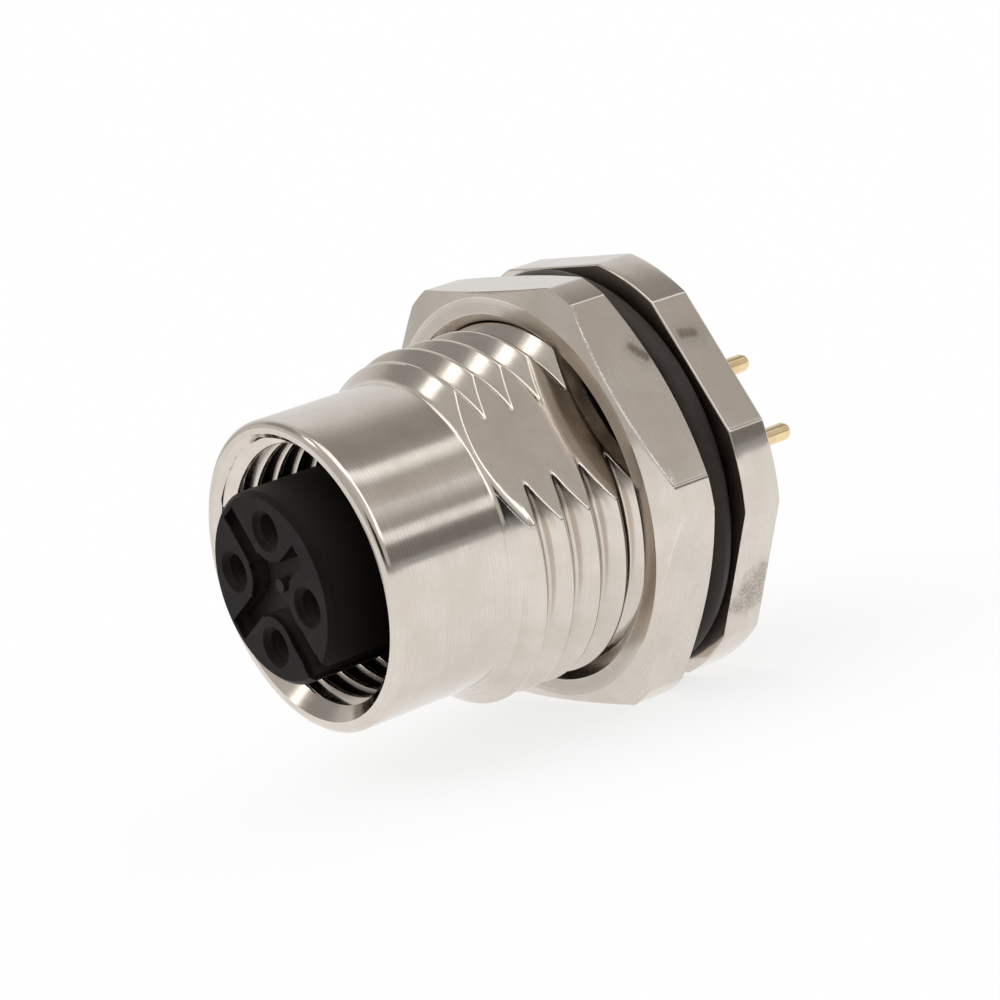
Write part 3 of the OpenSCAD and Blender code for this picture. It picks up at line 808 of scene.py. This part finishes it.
def buildContact(number):
    # a turned profile carried round the contact's own axis, tip to socket's end; along the slits the
    # barrel's rows drop to the slits' foot
    sizes = contactSizes
    lean = math.degrees(math.asin(sizes["slit"] / 2 / sizes["slitReach"]))
    sides = [-lean, sizes["slitStep"] - lean, lean - sizes["slitStep"], lean]
    quarter = np.concatenate([sides, np.linspace(lean, 90 - lean, 10)[1:-1]])
    turn = np.append((quarter[None, :] + 90 * np.arange(4)[:, None]).ravel(), 360 - lean)
    inSlit = np.append(np.tile(np.abs(quarter) < lean - 0.1, 4), False)
    tail, stem, shoulder, barrel, socket = (sizes[part] for part in
                                            ("tail", "stem", "shoulder", "barrel", "socket"))
    tailEnd, stemEnd, shoulderEnd = sizes["tailEnd"], sizes["stemEnd"], sizes["shoulderEnd"]
    mouth = sizes["mouth"]
    foot = mouth - sizes["slitLength"]
    swing = np.radians(np.linspace(0, 90, 9))
    tip = np.stack([tail * np.sin(swing), sizes["tip"] + tail * (1 - np.cos(swing))], 1)
    profile = np.concatenate([tip, [
        (tail, sizes["tailMid"]), (tail, tailEnd),
        (stem - sizes["stemBevel"], tailEnd), (stem, tailEnd + sizes["stemBevel"]), (stem, stemEnd),
        (shoulder - sizes["shoulderBevel"], stemEnd), (shoulder, stemEnd + sizes["shoulderBevel"]),
        (shoulder, shoulderEnd), (barrel, shoulderEnd), (barrel, foot),
        (barrel, mouth - sizes["barrelBevel"]), (barrel - sizes["barrelBevel"], mouth),
        (socket + sizes["lead"], mouth), (socket, mouth - sizes["leadDepth"]),
        (socket, sizes["socketEnd"]), (0.0, sizes["socketEnd"]),
    ]])
    radius = level(profile[:, 0], len(turn))
    height = level(profile[:, 1], len(turn))
    height = np.where(inSlit[None, :], np.minimum(height, foot), height)
    around = np.radians(turn)[None, :]
    middle = math.radians(sizes["turn"] + 90 * (number - 1))
    x = sizes["circle"] * math.cos(middle) + radius * np.cos(around)
    z = sizes["circle"] * math.sin(middle) + radius * np.sin(around)
    contact = putGrid("contact_turned_%d" % number, np.hypot(x, z), height,
                      np.degrees(np.arctan2(z, x)), sizes["fold"], joined=False)
    fitPiece(contact, "gold", "contact_%d" % number, "socket")


for number in range(1, 5):
    buildContact(number)


# solids that stay as they are, in better finishes
keptSolids = {"insert_seal": "rubber", "contact_retainer": "plastic"}
for name, look in keptSolids.items():
    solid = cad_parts[name]
    solid.data.materials.clear()
    solid.data.materials.append(finishes[look])
print("kept solids painted")


def rayKinds(pen):
    # what looks at a surface: the camera, a mirror, or something seen through glass
    return pen.node("ShaderNodeLightPath").outs("Is Camera Ray", "Is Glossy Ray", "Is Transmission Ray")


# each dimming of the floor gives where it starts and ends, in metres, and how much it takes
floorLook = {
    "level": -9.12, "reach": 4.0, "colour": 0.22, "glow": 0.78,
    "mirror": 1.1,                        # how bright metal sees the floor
    "farDim": (0.100, 0.124, 0.77),       # to the right
    "nearDim": (0.05, 0.12, 0.10),        # to the front left
    "foreDim": (0.080, 0.110, 0.9),       # in front, on the right-hand side
    "foreSide": (0.02, 0.05),
}


def buildFloor():
    # a flat white sheet that takes the shadow, with a glow for what looks at it straight or in a mirror
    look = floorLook
    across = np.linspace(-look["reach"], look["reach"], 5)
    x, y = np.meshgrid(across, across, indexing="ij")
    spots = np.stack([x, y, np.full_like(x, look["level"] * mm)], -1).reshape(-1, 3)
    index = np.arange(x.size).reshape(x.shape)
    quads = np.stack([index[:-1, :-1], index[1:, :-1], index[1:, 1:], index[:-1, 1:]], -1).reshape(-1, 4)
    mesh = bpy.data.meshes.new("floor")
    mesh.from_pydata(spots.tolist(), [], quads.tolist())
    floor = bpy.data.objects.new("floor", mesh)
    bpy.context.scene.collection.objects.link(floor)
    finish = bpy.data.materials.new("floorSheet")
    pen = startTree(finish)
    camera, glossy, through = rayKinds(pen)
    place = pen.node("ShaderNodeTexCoord", out=3)
    far, fore = pen.node("ShaderNodeSeparateXYZ", {}, {0: place}).outs(0, 1)
    farLow, farHigh, farTaken = look["farDim"]
    nearLow, nearHigh, nearTaken = look["nearDim"]
    foreLow, foreHigh, foreTaken = look["foreDim"]
    mirrored = look["mirror"] * (1 - farTaken * far.rise(farLow, farHigh))
    mirrored = mirrored * (1 - nearTaken * (0 - far - fore).rise(nearLow, nearHigh))
    ahead = far.rise(*look["foreSide"]) * (0 - fore).rise(foreLow, foreHigh)
    mirrored = mirrored * (1 - foreTaken * ahead)
    lit = (camera + through + glossy * mirrored) * look["glow"]
    diffuse = pen.node("ShaderNodeBsdfDiffuse", {}, {"Color": (look["colour"],) * 3})
    glow = pen.node("ShaderNodeEmission", {}, {"Color": (1.0, 1.0, 1.0), "Strength": lit})
    both = pen.node("ShaderNodeAddShader", {}, {0: diffuse, 1: glow})
    pen.node("ShaderNodeOutputMaterial", {}, {"Surface": both})
    mesh.materials.append(finish)


skyLook = {
    "level": 0.62,                        # even light on dull surfaces
    # long strips by the share of the half turn round the socket's axis, with their brightness
    "strips": [
        (0.0, 0.22), (0.07, 0.24), (0.085, 1.15), (0.112, 1.15), (0.128, 0.40), (0.16, 0.46), (0.205, 0.84),
        (0.25, 0.58), (0.33, 0.50), (0.36, 1.25), (0.388, 1.25), (0.41, 0.42), (0.47, 0.34), (0.55, 0.38),
        (0.58, 0.40), (0.62, 0.52), (0.70, 0.80), (0.80, 0.88), (1.0, 0.82),
    ],
    "warm": (1.0, 0.96, 0.915), "warmBelow": 0.75,
    "front": (0.60, 0.585, 0.565),        # the room ahead of the mouth
    "belt": (2.2, 2.15, 2.1), "beltHalf": 0.36,   # bright band across the axis, for rounded edges
    "toneWarm": (1.0, 0.98, 0.955),
    # soft round patches: direction, where each starts and is full, and brightness
    "tones": [
        ((-0.81, -0.52, 0.20), 0.90, 0.98, 0.73), ((-0.66, -0.41, 0.62), 0.93, 0.985, 0.36),
        ((0.41, -0.91, 0.06), 0.925, 0.970, 0.02), ((0.62, -0.40, 0.68), 0.86, 0.97, 0.70),
        ((0.0, -0.05, 1.0), 0.965, 0.985, 1.5), ((-0.37, -0.61, 0.70), 0.9945, 0.9998, 3.0),
        ((-0.34, -0.51, 0.79), 0.9945, 0.9998, 2.6),
    ],
}


def shaded(tint, brightness):
    # a tint at the given brightness
    return tuple(part * brightness for part in tint)


def buildSky():
    # a white room for the camera; metal sees long soft strips beside and above the socket, by the angle
    # round its axis, and dull surfaces see an even light
    look = skyLook
    world = bpy.data.worlds.new("studio")
    bpy.context.scene.world = world
    pen = startTree(world)
    way = pen.node("ShaderNodeTexCoord", out=0)
    dx, dy, dz = pen.node("ShaderNodeSeparateXYZ", {}, {0: way}).outs(0, 1, 2)
    share = dz.maths("ARCTAN2", dz, dx) / math.pi
    white = (1.0, 1.0, 1.0)
    strips = [(place, shaded(look["warm"] if value < look["warmBelow"] else white, value))
              for place, value in look["strips"]]
    room = pen.node("ShaderNodeValToRGB", {"stops": strips}, {0: share})
    room = (0 - dy).rise(-0.2, 0.2).tint(room, look["front"])
    belt = (dy + look["beltHalf"]).rise(0.0, 0.1) * (look["beltHalf"] - dy).rise(0.0, 0.1)
    belt = belt * share.rise(0.08, 0.14) * (0.55 - share).rise(0.0, 0.06)
    room = belt.tint(room, look["belt"])
    for towards, low, high, tone in look["tones"]:
        near = pen.vector("DOT_PRODUCT", way, towards, out=1)
        room = near.rise(low, high).tint(room, shaded(look["toneWarm"], tone))
    camera, glossy, through = rayKinds(pen)
    colour = glossy.tint((look["level"],) * 3, room)
    colour = camera.least(through).tint(colour, white)
    back = pen.node("ShaderNodeBackground", {}, {"Color": colour, "Strength": 1.0})
    pen.node("ShaderNodeOutputWorld", {}, {"Surface": back})


lampLook = {"level": 1.25, "softness": 70, "lean": (18, -12, 0)}


def buildLamp():
    # one wide soft lamp from above and a little in front, for the shadow on the floor
    lamp = bpy.data.lights.new("softLamp", "SUN")
    lamp.energy = lampLook["level"]
    lamp.angle = math.radians(lampLook["softness"])
    held = bpy.data.objects.new("softLamp", lamp)
    held.rotation_euler = tuple(math.radians(part) for part in lampLook["lean"])
    held.visible_glossy = False
    bpy.context.scene.collection.objects.link(held)


viewPoint = {
    "place": (117.56, -86.38, 26.13), "lens": 124.1, "sensor": 36, "nearest": 0.005,
    "right": (0.58625, 0.77953, -0.22055), "up": (-0.0159, 0.28326, 0.95891),
    "ahead": (-0.80997, 0.55865, -0.17846),
}


def buildCamera():
    # a long lens at its place, turned by the three directions of its frame
    lens = bpy.data.cameras.new("viewer")
    lens.sensor_width = viewPoint["sensor"]
    lens.lens = viewPoint["lens"]
    lens.clip_start = viewPoint["nearest"]
    viewer = bpy.data.objects.new("viewer", lens)
    turned = np.eye(4)
    turned[:3, 0], turned[:3, 1] = viewPoint["right"], viewPoint["up"]
    turned[:3, 2] = -np.array(viewPoint["ahead"])
    turned[:3, 3] = np.array(viewPoint["place"]) * mm
    viewer.matrix_world = Matrix(turned.tolist())
    bpy.context.scene.collection.objects.link(viewer)
    bpy.context.scene.camera = viewer


buildFloor()
buildSky()
buildLamp()
buildCamera()
bpy.context.scene.view_settings.view_transform = "Standard"
print("stage set")
